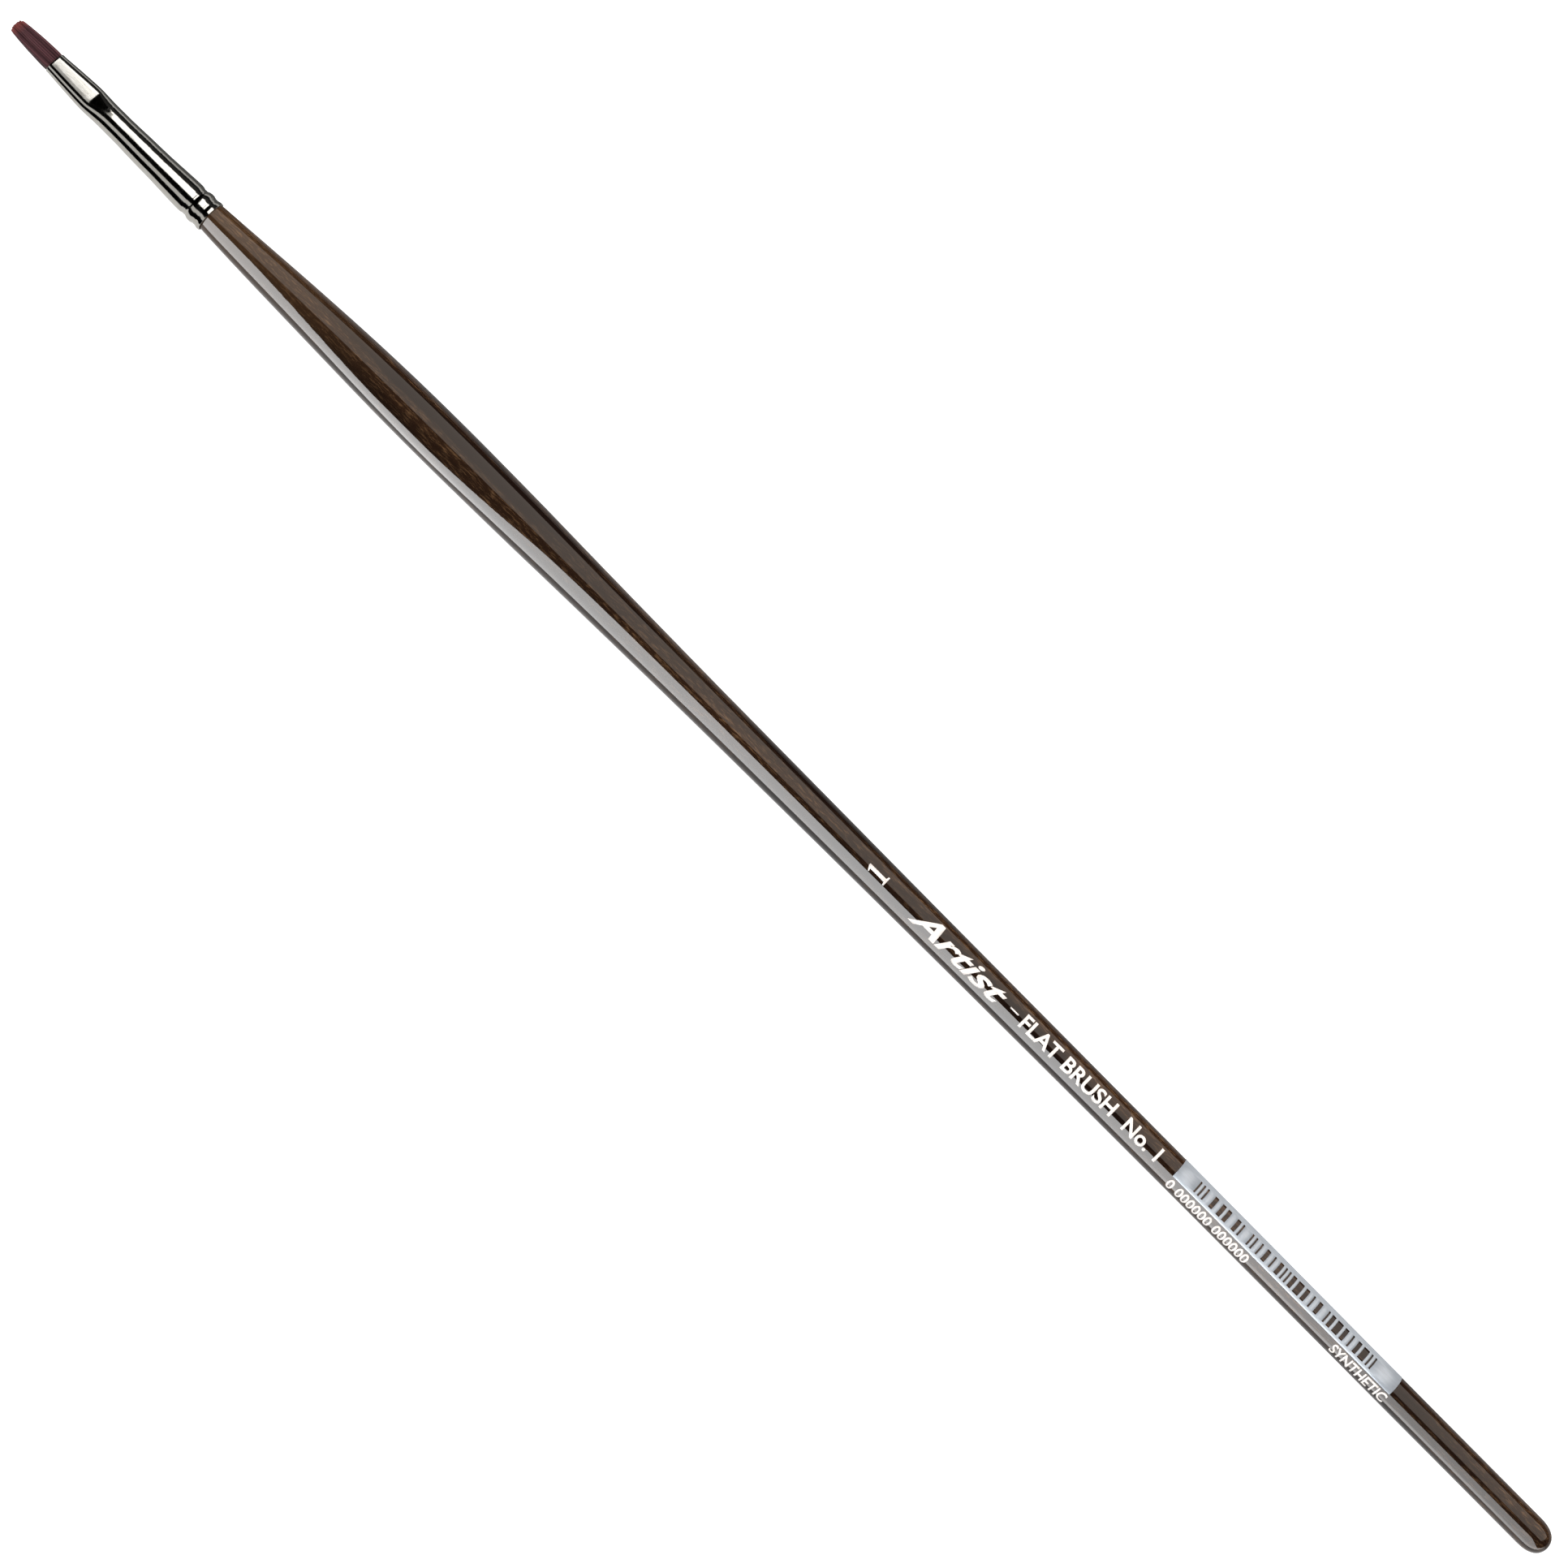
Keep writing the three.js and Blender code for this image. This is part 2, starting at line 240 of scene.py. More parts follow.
# Lacquered hardwood, stained and dipped: near-black brown with fine golden flecks along the grain under
# a thick clear film, whose faint orange peel makes the edges of the reflected lights waver.
wood = new_material("lacquered stained hardwood")
place = add_node(wood, "ShaderNodeTexCoord").outputs["Object"]
GRAIN_LENGTH = 1.3  # mm, of a fleck of grain
GRAIN_WIDTH = 0.2
BAND_LENGTH = 40  # mm, of a lighter or darker band of wood
BAND_WIDTH = 2
PEEL_SIZE = 1.6  # mm, between the swells of the orange peel
PALE_NECK = (66, 36)  # stations between which the stain thins out towards the ferrule
grain_place = add_node(
    wood, "ShaderNodeMapping",
    [("Scale", (1000 / GRAIN_LENGTH, 1000 / GRAIN_WIDTH, 1000 / GRAIN_WIDTH))],
    [("Vector", place)])
grain = add_node(
    wood, "ShaderNodeTexNoise",
    [("Scale", 1.0), ("Detail", 3.0), ("Roughness", 0.6), ("Distortion", 0.3)],
    [("Vector", grain_place.outputs[0])])
grain_share = add_node(
    wood, "ShaderNodeMapRange",
    [("From Min", 0.5), ("From Max", 0.74)],
    [("Value", grain.outputs["Fac"])])
band_place = add_node(
    wood, "ShaderNodeMapping",
    [("Location", (0, 1.5, 0)), ("Scale", (1000 / BAND_LENGTH, 1000 / BAND_WIDTH, 1000 / BAND_WIDTH))],
    [("Vector", place)])
band = add_node(
    wood, "ShaderNodeTexNoise",
    [("Scale", 1.0), ("Detail", 2.0), ("Roughness", 0.5)],
    [("Vector", band_place.outputs[0])])
band_share = add_node(
    wood, "ShaderNodeMapRange",
    [("From Min", 0.35), ("From Max", 0.68)],
    [("Value", band.outputs["Fac"])])
ground_colour = add_node(
    wood, "ShaderNodeMix",
    [("data_type", "RGBA"), (6, linear("#150d0a")), (7, linear("#2b1c12"))],
    [(0, band_share.outputs[0])])
wood_x = add_node(wood, "ShaderNodeSeparateXYZ", (), [("Vector", place)])
neck_share = add_node(
    wood, "ShaderNodeMapRange",
    [("From Min", station_x(PALE_NECK[0])), ("From Max", station_x(PALE_NECK[1])), ("To Max", 0.75)],
    [("Value", wood_x.outputs["X"])])
stained_colour = add_node(
    wood, "ShaderNodeMix",
    [("data_type", "RGBA"), (7, linear("#3d2c1d"))],
    [(0, neck_share.outputs[0]), (6, ground_colour.outputs[2])])
streak_amount = add_node(
    wood, "ShaderNodeMath",
    [("operation", "MULTIPLY")],
    [(0, grain_share.outputs[0]), (1, band_share.outputs[0])])
wood_colour = add_node(
    wood, "ShaderNodeMix",
    [("data_type", "RGBA"), (7, linear("#644c35"))],
    [(0, streak_amount.outputs[0]), (6, stained_colour.outputs[2])])
peel = add_node(
    wood, "ShaderNodeTexNoise",
    [("Scale", 1000 / PEEL_SIZE), ("Detail", 1.0)],
    [("Vector", place)])
peel_bump = add_node(
    wood, "ShaderNodeBump",
    [("Strength", 1.0), ("Distance", 0.000004)],
    [("Height", peel.outputs["Fac"])])
pore_bump = add_node(
    wood, "ShaderNodeBump",
    [("Strength", 0.3), ("Distance", 0.00001)],
    [("Height", grain.outputs["Fac"])])
wood_shader = add_node(
    wood, "ShaderNodeBsdfPrincipled",
    [("Roughness", 0.6), ("Specular IOR Level", 0.0), ("Coat Weight", 1.0), ("Coat Roughness", 0.03),
     ("Coat IOR", 1.5)],
    [("Base Color", wood_colour.outputs[2]), ("Normal", pore_bump.outputs[0]),
     ("Coat Normal", peel_bump.outputs[0])])
add_node(wood, "ShaderNodeOutputMaterial", (), [("Surface", wood_shader.outputs[0])])
handle.data.materials.append(wood)
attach(handle, "brush_body")
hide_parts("handle")


# ---- ferrule --------------------------------------------------------------------------------------------
# A seamless tube drawn from brass and nickel-plated. Its mouth is pressed flat over the filaments, and
# two rolled crimps with a bead between them grip the handle's tenon.
FERRULE_SIDES = 96
FERRULE_WALL = 0.2
EDGE_BEVEL = 0.04
FERRULE_LEAN = 0.5  # the share of the handle's bow that it follows
FLAT_CROWN = 0.012  # how far a flat bulges, as a share of the thickness
WIDEST_FLAT = 1.65
MOUTH = 7
# Station, width across the flats' edges, thickness and the width of the two flats.
FLAT_RINGS = [(MOUTH, 3.06, 2.02, 0.95), (7.5, 3.08, 2.03, 0.95), (10, 3.45, 2.21, 1.15),
              (13.2, 3.82, 2.434, 1.45), (14, 3.8, 2.49, 1.5)]
ROUND_RINGS = [(14, 3.8, 2.49, 1.5), (14.8, 3.72, 2.85, 0.85), (15.8, 3.62, 3.25, 0.3),
               (16.8, 3.58, 3.5, 0.05), (17.6, 3.58, 3.575, 0), (19.4, 3.6, 3.6, 0), (22.3, 3.79, 3.79, 0),
               (25.5, 3.93, 3.93, 0), (28.8, 4.22, 4.22, 0)]
CRIMP_RINGS = [(28.8, 4.22, 4.22, 0), (30.2, 4.34, 4.34, 0), (31.05, 4.36, 4.36, 0), (31.4, 4.29, 4.29, 0),
               (31.62, 4.14, 4.14, 0), (31.78, 4.1, 4.1, 0), (31.9, 4.15, 4.15, 0), (32.02, 4.1, 4.1, 0),
               (32.18, 4.17, 4.17, 0), (32.42, 4.38, 4.38, 0), (32.75, 4.5, 4.5, 0), (33.08, 4.49, 4.49, 0),
               (33.34, 4.33, 4.33, 0), (33.5, 4.22, 4.22, 0), (33.62, 4.26, 4.26, 0), (33.76, 4.22, 4.22, 0),
               (34, 4.32, 4.32, 0), (34.3, 4.45, 4.45, 0), (34.65, 4.41, 4.41, 0)]

ferrule_rings = run_through(FLAT_RINGS, 0.25)
ferrule_rings += run_through(ROUND_RINGS, 0.2)[1:]
ferrule_rings += run_through(CRIMP_RINGS, 0.06)[1:]
ferrule = drawn_tube(
    "plated_ferrule", [(ring[0], ring[2] / 2) for ring in ferrule_rings], FERRULE_SIDES)
settle(ferrule, 40)


def pressed(ring, turn):
    """A point on a pressed ring, at an angle from the middle of the top flat, spaced evenly round it."""
    station, width, thickness, flat = ring
    end_width = (width - flat) / 2
    quarter_round = math.pi / 2 * math.sqrt((end_width ** 2 + thickness ** 2 / 4) / 2)
    quarter = flat / 2 + quarter_round
    share = abs(math.asin(math.sin(turn))) / (math.pi / 2)
    along = share * quarter
    if along < flat / 2:
        y = along
        z = thickness / 2
    else:
        end_turn = (along - flat / 2) / quarter_round * math.pi / 2
        y = flat / 2 + end_width * math.sin(end_turn)
        z = thickness / 2 * math.cos(end_turn)
    z *= 1 + FLAT_CROWN * (flat / WIDEST_FLAT) * (1 - (2 * y / width) ** 2)
    return math.copysign(y, math.sin(turn)), math.copysign(z, math.cos(turn))


rings_by_x = {round(station_x(ring[0]) * 1e7): ring for ring in ferrule_rings}
for vertex in ferrule.data.vertices:
    ring = rings_by_x[min(rings_by_x, key=lambda key: abs(key - vertex.co.x * 1e7))]
    y, z = pressed(ring, math.atan2(vertex.co.y, vertex.co.z - AXIS_Z))
    vertex.co.y = (y + FERRULE_LEAN * bow_at(ring[0])) * MM
    vertex.co.z = AXIS_Z + z * MM


def apply_modifier(piece, kind, settings):
    """Adds a modifier with its settings and applies it."""
    modifier = piece.modifiers.new(kind.lower(), kind)
    for key, value in settings:
        setattr(modifier, key, value)
    with bpy.context.temp_override(object=piece, active_object=piece):
        bpy.ops.object.modifier_apply(modifier=modifier.name)


apply_modifier(ferrule, "SOLIDIFY", [("thickness", FERRULE_WALL * MM), ("offset", -1)])
apply_modifier(ferrule, "BEVEL", [("width", EDGE_BEVEL * MM), ("segments", 2), ("limit_method", "ANGLE"),
                                  ("angle_limit", math.radians(60))])

# Nickel-plated brass, drawn and tumbled: a warm grey mirror, a little clouded, with fine pits and hairline
# scratches along the draw that break up the edges of the reflected lights.
SCRATCH_LENGTH = 2.0  # mm
SCRATCH_WIDTH = 0.12
CLOUD_SIZE = 0.8
PIT_SIZE = 0.3
SCUFF_TURN = math.radians(20)  # from straight up, to the middle of the side that is pitted most
nickel = new_material("bright nickel-plated brass")
place = add_node(nickel, "ShaderNodeTexCoord").outputs["Object"]
scratch_place = add_node(
    nickel, "ShaderNodeMapping",
    [("Scale", (1000 / SCRATCH_LENGTH, 1000 / SCRATCH_WIDTH, 1000 / SCRATCH_WIDTH))],
    [("Vector", place)])
scratches = add_node(
    nickel, "ShaderNodeTexNoise",
    [("Scale", 1.0), ("Detail", 2.0)],
    [("Vector", scratch_place.outputs[0])])
clouds = add_node(
    nickel, "ShaderNodeTexNoise",
    [("Scale", 1000 / CLOUD_SIZE), ("Detail", 3.0)],
    [("Vector", place)])
pits = add_node(
    nickel, "ShaderNodeTexNoise",
    [("Scale", 1000 / PIT_SIZE), ("Detail", 2.0)],
    [("Vector", place)])
nickel_colour = add_node(
    nickel, "ShaderNodeMix",
    [("data_type", "RGBA"), (6, linear("#b4afa6")), (7, linear("#c4c3be"))],
    [(0, clouds.outputs["Fac"])])
nickel_roughness = add_node(
    nickel, "ShaderNodeMapRange",
    [("From Min", 0.3), ("From Max", 0.7), ("To Min", 0.07), ("To Max", 0.13)],
    [("Value", clouds.outputs["Fac"])])
facing = add_node(nickel, "ShaderNodeTexCoord").outputs["Normal"]
scuffed_side = add_node(
    nickel, "ShaderNodeVectorMath",
    [("operation", "DOT_PRODUCT"), (1, (0, math.sin(SCUFF_TURN), math.cos(SCUFF_TURN)))],
    [(0, facing)])
scuff_share = add_node(
    nickel, "ShaderNodeMapRange",
    [("From Min", 0.95), ("From Max", 0.99), ("To Min", 0.12), ("To Max", 1.0)],
    [("Value", scuffed_side.outputs["Value"])])
pit_bump = add_node(
    nickel, "ShaderNodeBump",
    [("Distance", 0.000014)],
    [("Strength", scuff_share.outputs[0]), ("Height", pits.outputs["Fac"])])
scratch_bump = add_node(
    nickel, "ShaderNodeBump",
    [("Strength", 1.0), ("Distance", 0.000001)],
    [("Height", scratches.outputs["Fac"]), ("Normal", pit_bump.outputs[0])])
nickel_shader = add_node(
    nickel, "ShaderNodeBsdfPrincipled",
    [("Metallic", 1.0)],
    [("Base Color", nickel_colour.outputs[2]), ("Roughness", nickel_roughness.outputs[0]),
     ("Normal", scratch_bump.outputs[0])])
add_node(nickel, "ShaderNodeOutputMaterial", (), [("Surface", nickel_shader.outputs[0])])
ferrule.data.materials.append(nickel)
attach(ferrule, "brush_body")
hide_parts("ferrule")


# ---- tuft -----------------------------------------------------------------------------------------------
# Tapered synthetic filaments, extruded from nylon and dyed reddish brown. They are bundled root down,
# bound with thread, pulled into the ferrule and potted, and the pressed mouth spreads them flat.
LOCKS_ACROSS = 8
FILAMENTS_ACROSS = 3  # in one lock
FILAMENTS_DEEP = 5
FILAMENT_RADIUS = 0.066
FILAMENT_SIDES = 5
BOUND_STATION = 14.5  # behind it the thread squeezes the roots together
TIP_ROUNDING = 0.45  # mm, how far the outermost filaments fall short
UNEVEN_TIPS = 0.15  # mm
# The outline of the whole bundle: station, width, thickness.
BUNDLE_RINGS = [(0, 2.02, 0.55), (0.6, 2.26, 0.68), (1.8, 2.5, 0.92), (3.7, 2.69, 1.25), (6.1, 2.82, 1.58),
                (6.8, 2.77, 1.6), (7.2, 2.64, 1.6), (10, 3.0, 1.76), (14, 3.3, 2.0), (15.5, 1.9, 1.9),
                (16.5, 1.9, 1.9), (17.6, 2.2, 2.2)]
FILAMENT_STATIONS = [0, 0.45, 1.4, 2.4, 3.4, 4.4, 5.4, 6.3, 7, 8, 12.5, 15.5, 17.5]
rng = random.Random(41)

# One filament, modelled straight: a blunt-tipped taper whose rings stand a unit apart along X.
TAPERED_RINGS = 5
MODEL_RADIUS = 0.95
bpy.ops.object.select_all(action="DESELECT")
bpy.ops.mesh.primitive_circle_add(vertices=FILAMENT_SIDES, radius=0.5, rotation=(0, math.pi / 2, 0))
filament = bpy.context.object
bpy.ops.object.mode_set(mode="EDIT")
bpy.ops.mesh.select_all(action="SELECT")
for ring_number in range(1, len(FILAMENT_STATIONS)):
    bpy.ops.mesh.extrude_region_move(TRANSFORM_OT_translate={"value": (1, 0, 0)})
    if ring_number == 1:
        bpy.ops.transform.resize(value=(1, 1.6, 1.6), center_override=(1, 0, 0))
    elif ring_number < TAPERED_RINGS:
        bpy.ops.transform.resize(value=(1, 1.07, 1.07), center_override=(ring_number, 0, 0))
for end in (0, len(FILAMENT_STATIONS) - 1):
    select_vertices(filament, lambda co: abs(co.x - end) < 1e-4)
    bpy.ops.mesh.edge_face_add()
settle(filament, 80)


def bundle_at(station):
    """Width and thickness of the bundle at a station."""
    for low, high in zip(BUNDLE_RINGS, BUNDLE_RINGS[1:]):
        if station <= high[0]:
            share = max(0, (station - low[0]) / (high[0] - low[0]))
            return low[1] + share * (high[1] - low[1]), low[2] + share * (high[2] - low[2])
    return BUNDLE_RINGS[-1][1:]


def new_piece(name, shape):
    """Makes an object of a finished bmesh."""
    mesh = bpy.data.meshes.new(name)
    shape.to_mesh(mesh)
    shape.free()
    piece = bpy.data.objects.new(name, mesh)
    bpy.context.scene.collection.objects.link(piece)
    return piece


def laid_lock(name, column, row):
    """A lock of filaments laid from the potted roots to the tip of its share of the tuft."""
    lock = bmesh.new()
    along = lock.verts.layers.float.new("along")
    # Besides each filament's dye, this attribute carries the painted highlight on the far edge of the tuft.
    dye_and_edge_light = lock.verts.layers.float.new("dye_and_edge_light")
    middle = (2 * column + 1) / LOCKS_ACROSS - 1
    deep = row - 0.5
    gather = rng.uniform(0.15, 0.5)
    lean = rng.uniform(-0.04, 0.04)
    lock_dye_and_edge_light = rng.uniform(-0.2, 0.15)
    # Painted highlight: the locks on the far (+Y) edge are made paler to stand for the light on that edge.
    if column == LOCKS_ACROSS - 1:
        lock_dye_and_edge_light += 0.3  # painted highlight along the far edge of the tuft
    for i in range(FILAMENTS_ACROSS):
        for j in range(FILAMENTS_DEEP):
            across = ((i + 0.5) / FILAMENTS_ACROSS - 0.5) * 2 / LOCKS_ACROSS
            through = (j + 0.5) / FILAMENTS_DEEP - 0.5
            across += rng.uniform(-0.02, 0.02)
            through += rng.uniform(-0.06, 0.06)
            tip = TIP_ROUNDING * abs(middle) ** 4 + rng.uniform(0, UNEVEN_TIPS)
            wave = rng.uniform(-0.03, 0.03)
            phase = rng.uniform(0, 6.28)
            colour = 0.5 + lock_dye_and_edge_light + rng.choice((-0.5, -0.3, -0.1, 0.05, 0.15, 0.25, 0.35))
            start = len(lock.verts)
            lock.from_mesh(filament.data)
            lock.verts.ensure_lookup_table()
            for vertex in lock.verts[start:]:
                ring_number = round(vertex.co.x)
                station = FILAMENT_STATIONS[ring_number]
                if station < MOUTH:
                    station = tip + station * (MOUTH - tip) / MOUTH
                free = max(0, 1 - station / MOUTH)
                width, thickness = bundle_at(station)
                radius = FILAMENT_RADIUS * (1 if station < BOUND_STATION else 0.8)
                p = middle + across * (1 - gather * free) + (lean + wave * math.sin(phase + station)) * free
                q = deep + through * (1 - 0.3 * free)
                edge = max(0, 1 - abs(p) ** 4) ** 0.25
                y = p * (width / 2 - radius)
                z = q * edge * (thickness / 2 - radius)
                vertex.co.x = station_x(station)
                vertex.co.y = (y + vertex.co.y * radius / MODEL_RADIUS) * MM
                vertex.co.z = AXIS_Z + (z + vertex.co.z * radius / MODEL_RADIUS) * MM
                vertex[along] = station / MOUTH
                vertex[dye_and_edge_light] = colour
    piece = new_piece(name, lock)
    for polygon in piece.data.polygons:
        polygon.use_smooth = len(polygon.vertices) == 4
    return piece


# Dyed nylon filament, extruded and flagged: satin reddish brown, each filament its own shade. Towards the
# thin tip it is paler and redder, partly from its own dye and partly as painted light that passes through the
# thin tip.
nylon = new_material("dyed nylon filament")
along = add_node(nylon, "ShaderNodeAttribute", [("attribute_name", "along")])
dye_and_edge_light = add_node(nylon, "ShaderNodeAttribute", [("attribute_name", "dye_and_edge_light")])
# Painted light: the paler, redder tip colour also stands for light passing through the thin tips.
tip_dye_and_glow_share = add_node(
    nylon, "ShaderNodeMapRange",
    [("From Min", 0.0), ("From Max", 0.24), ("To Min", 1.0), ("To Max", 0.0),
     ("interpolation_type", "SMOOTHSTEP")],
    [("Value", along.outputs["Fac"])])
body_colour = add_node(
    nylon, "ShaderNodeMix",
    [("data_type", "RGBA"), (6, linear("#2c1316")), (7, linear("#84545a"))],
    [(0, dye_and_edge_light.outputs["Fac"])])
tip_dye_and_glow = add_node(
    nylon, "ShaderNodeMix",
    [("data_type", "RGBA"), (6, linear("#6e2522")), (7, linear("#b8625a"))],
    [(0, dye_and_edge_light.outputs["Fac"])])
nylon_colour = add_node(
    nylon, "ShaderNodeMix",
    [("data_type", "RGBA")],
    [(0, tip_dye_and_glow_share.outputs[0]), (6, body_colour.outputs[2]), (7, tip_dye_and_glow.outputs[2])])
nylon_shader = add_node(
    nylon, "ShaderNodeBsdfPrincipled",
    [("Roughness", 0.38), ("Specular IOR Level", 0.5)],
    [("Base Color", nylon_colour.outputs[2])])
add_node(nylon, "ShaderNodeOutputMaterial", (), [("Surface", nylon_shader.outputs[0])])

for row, row_name in enumerate(("bottom", "top")):
    for column in range(LOCKS_ACROSS):
        lock = laid_lock(f"filament_lock_{row_name}_{column + 1}", column, row)
        lock.data.materials.append(nylon)
        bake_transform(lock)
        if (row_name, column) == ("top", 3):
            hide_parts(f"tuft_lock_{row_name}_{column + 1}", "filament_roots")
        else:
            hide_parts(f"tuft_lock_{row_name}_{column + 1}")
bpy.data.objects.remove(filament)


# ---- binding, resin and cement --------------------------------------------------------------------------
# Inside the ferrule the roots are bound with waxed cotton thread and potted in amber epoxy, and a skin of
# cement holds the tenon. None of it shows on a finished brush, so plain solids stand for it.
# Node, finish, pale and deep colour, roughness, and the size of the mottle in mm.
hidden_finishes = [
    ("binding_thread", "waxed cotton thread", "#cfc6b0", "#a99f88", 0.85, 0.15),
    ("resin_plug", "cast amber epoxy", "#a97c36", "#7f5a22", 0.25, 1.2),
    ("tenon_cement", "brushed tenon cement", "#9c8f7a", "#857862", 0.6, 0.5),
]
for node_name, finish_name, pale, deep_colour, roughness, grain_size in hidden_finishes:
    finish = new_material(finish_name)
    place = add_node(finish, "ShaderNodeTexCoord").outputs["Object"]
    mottle = add_node(
        finish, "ShaderNodeTexNoise",
        [("Scale", 1000 / grain_size), ("Detail", 2.0)],
        [("Vector", place)])
    colour = add_node(
        finish, "ShaderNodeMix",
        [("data_type", "RGBA"), (6, linear(deep_colour)), (7, linear(pale))],
        [(0, mottle.outputs["Fac"])])
    relief = add_node(
        finish, "ShaderNodeBump",
        [("Strength", 0.5), ("Distance", 0.00002)],
        [("Height", mottle.outputs["Fac"])])
    shader = add_node(
        finish, "ShaderNodeBsdfPrincipled",
        [("Roughness", roughness)],
        [("Base Color", colour.outputs[2]), ("Normal", relief.outputs[0])])
    add_node(finish, "ShaderNodeOutputMaterial", (), [("Surface", shader.outputs[0])])
    bpy.data.objects[node_name].data.materials.clear()
    bpy.data.objects[node_name].data.materials.append(finish)


# ---- printed words --------------------------------------------------------------------------------------
# The size, a few plain words and a row of figures, pad-printed in opaque white ink on the cured lacquer.
PRINT_LIFT = 0.012  # mm, between the lacquer and the underside of the ink
PRINT_THICKNESS = 0.012
STRIP_WIDTH = 0.16  # of the flat strips that a print is wrapped in
VIEW_ROLL = 20  # degrees, from straight up to the middle of the printed side
WORDS_ANGLE = 3.4 - VIEW_ROLL
SMALL_PRINT_ANGLE = -38 - VIEW_ROLL


def radius_at(station):
    """The handle's radius at a station."""
    for low, high in zip(handle_outline, handle_outline[1:]):
        if station <= high[0]:
            share = (station - low[0]) / (high[0] - low[0])
            return low[1] + share * (high[1] - low[1])
    return BUTT_RADIUS


def wrap_print(piece, middle_angle):
    """Cuts a flat print drawn in mm into strips, wraps it round the handle and gives it a thickness.
    Its x is the station and its y runs round the handle from the middle angle, in degrees."""
    bpy.ops.object.select_all(action="DESELECT")
    piece.select_set(True)
    bpy.context.view_layer.objects.active = piece
    bpy.ops.object.mode_set(mode="EDIT")
    lowest = min(vertex.co.y for vertex in piece.data.vertices)
    highest = max(vertex.co.y for vertex in piece.data.vertices)
    cuts = int((highest - lowest) / STRIP_WIDTH)
    for cut in range(1, cuts + 1):
        bpy.ops.mesh.select_all(action="SELECT")
        bpy.ops.mesh.bisect(plane_co=(0, lowest + cut * STRIP_WIDTH, 0), plane_no=(0, 1, 0))
    bpy.ops.mesh.select_all(action="SELECT")
    bpy.ops.mesh.remove_doubles(threshold=1e-4)
    bpy.ops.object.mode_set(mode="OBJECT")
    for vertex in piece.data.vertices:
        radius = radius_at(vertex.co.x)
        turn = math.radians(middle_angle) + vertex.co.y / radius
        height = (radius + PRINT_LIFT) * MM
        station = vertex.co.x
        bow = bow_at(station) * MM
        vertex.co = (station_x(station), bow + height * math.sin(turn), AXIS_Z + height * math.cos(turn))
    for polygon in piece.data.polygons:
        polygon.use_smooth = True
    apply_modifier(piece, "SOLIDIFY", [("thickness", PRINT_THICKNESS * MM), ("offset", 1)])


def printed_words(name, words, start, end, cap_height, middle_angle, slant=0.0):
    """Plain bold words between two stations, as a flat mesh in mm that is then wrapped."""
    bpy.ops.object.select_all(action="DESELECT")
    bpy.ops.object.text_add()
    piece = bpy.context.object
    piece.name = name
    piece.data.body = words
    piece.data.resolution_u = 4
    piece.data.offset = 0.022
    piece.data.shear = slant
    bpy.ops.object.convert(target="MESH")
    piece = bpy.context.object
    low_x = min(vertex.co.x for vertex in piece.data.vertices)
    high_x = max(vertex.co.x for vertex in piece.data.vertices)
    low_y = min(vertex.co.y for vertex in piece.data.vertices)
    high_y = max(vertex.co.y for vertex in piece.data.vertices)
    for vertex in piece.data.vertices:
        vertex.co.x = start + (vertex.co.x - low_x) / (high_x - low_x) * (end - start)
        vertex.co.y = ((vertex.co.y - low_y) / (high_y - low_y) - 0.5) * cap_height
    wrap_print(piece, middle_angle)
    return piece


# Opaque pad-printing ink: chalky white with a slight sheen, a little thin and mottled where it broke up.
MOTTLE_SIZE = 0.5  # mm
ink = new_material("white pad-printing ink")
place = add_node(ink, "ShaderNodeTexCoord").outputs["Object"]
mottle = add_node(
    ink, "ShaderNodeTexNoise",
    [("Scale", 1000 / MOTTLE_SIZE), ("Detail", 3.0)],
    [("Vector", place)])
ink_colour = add_node(
    ink, "ShaderNodeMix",
    [("data_type", "RGBA"), (6, linear("#cfc8c4")), (7, linear("#f4f1ee"))],
    [(0, mottle.outputs["Fac"])])
ink_shader = add_node(
    ink, "ShaderNodeBsdfPrincipled",
    [("Roughness", 0.4)],
    [("Base Color", ink_colour.outputs[2])])
add_node(ink, "ShaderNodeOutputMaterial", (), [("Surface", ink_shader.outputs[0])])

words = [
    printed_words("print_artist", "Artist", 158.9, 174.9, 2.7, WORDS_ANGLE, 0.4),
    printed_words("print_dash", "-", 176, 177.4, 0.18, WORDS_ANGLE),
    printed_words("print_flat_brush", "FLAT BRUSH", 178.2, 194.4, 2.13, WORDS_ANGLE),
    printed_words("print_size_word", "No. 1", 196.4, 202.4, 2.13, WORDS_ANGLE),
    printed_words("print_figures", "0 000000 000000", 205.4, 219.5, 1.6, SMALL_PRINT_ANGLE),
    printed_words("print_synthetic", "SYNTHETIC", 234.6, 244, 1.6, SMALL_PRINT_ANGLE),
]
for word in words:
    word.data.materials.append(ink)
    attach(word, "brush_body")

# The figure for the size, with slab serifs, reads with its foot towards the butt.
NUMERAL_TOP = 150.8
NUMERAL_HEIGHT = 3.1
NUMERAL_ANGLE = 5.5 - VIEW_ROLL
NUMERAL_OUTLINE = [(-0.21, 0), (0.21, 0), (0.21, 0.06), (0.08, 0.1), (0.08, 1), (0, 1), (-0.2, 0.88),
                   (-0.2, 0.83), (-0.08, 0.86), (-0.08, 0.1), (-0.21, 0.06)]
figure = bmesh.new()
figure.faces.new([
    figure.verts.new((NUMERAL_TOP + NUMERAL_HEIGHT * (1 - up), NUMERAL_HEIGHT * side, 0))
    for side, up in NUMERAL_OUTLINE
])
numeral = new_piece("print_numeral", figure)
wrap_print(numeral, NUMERAL_ANGLE)
numeral.data.materials.append(ink)
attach(numeral, "brush_body")
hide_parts("size_numeral")


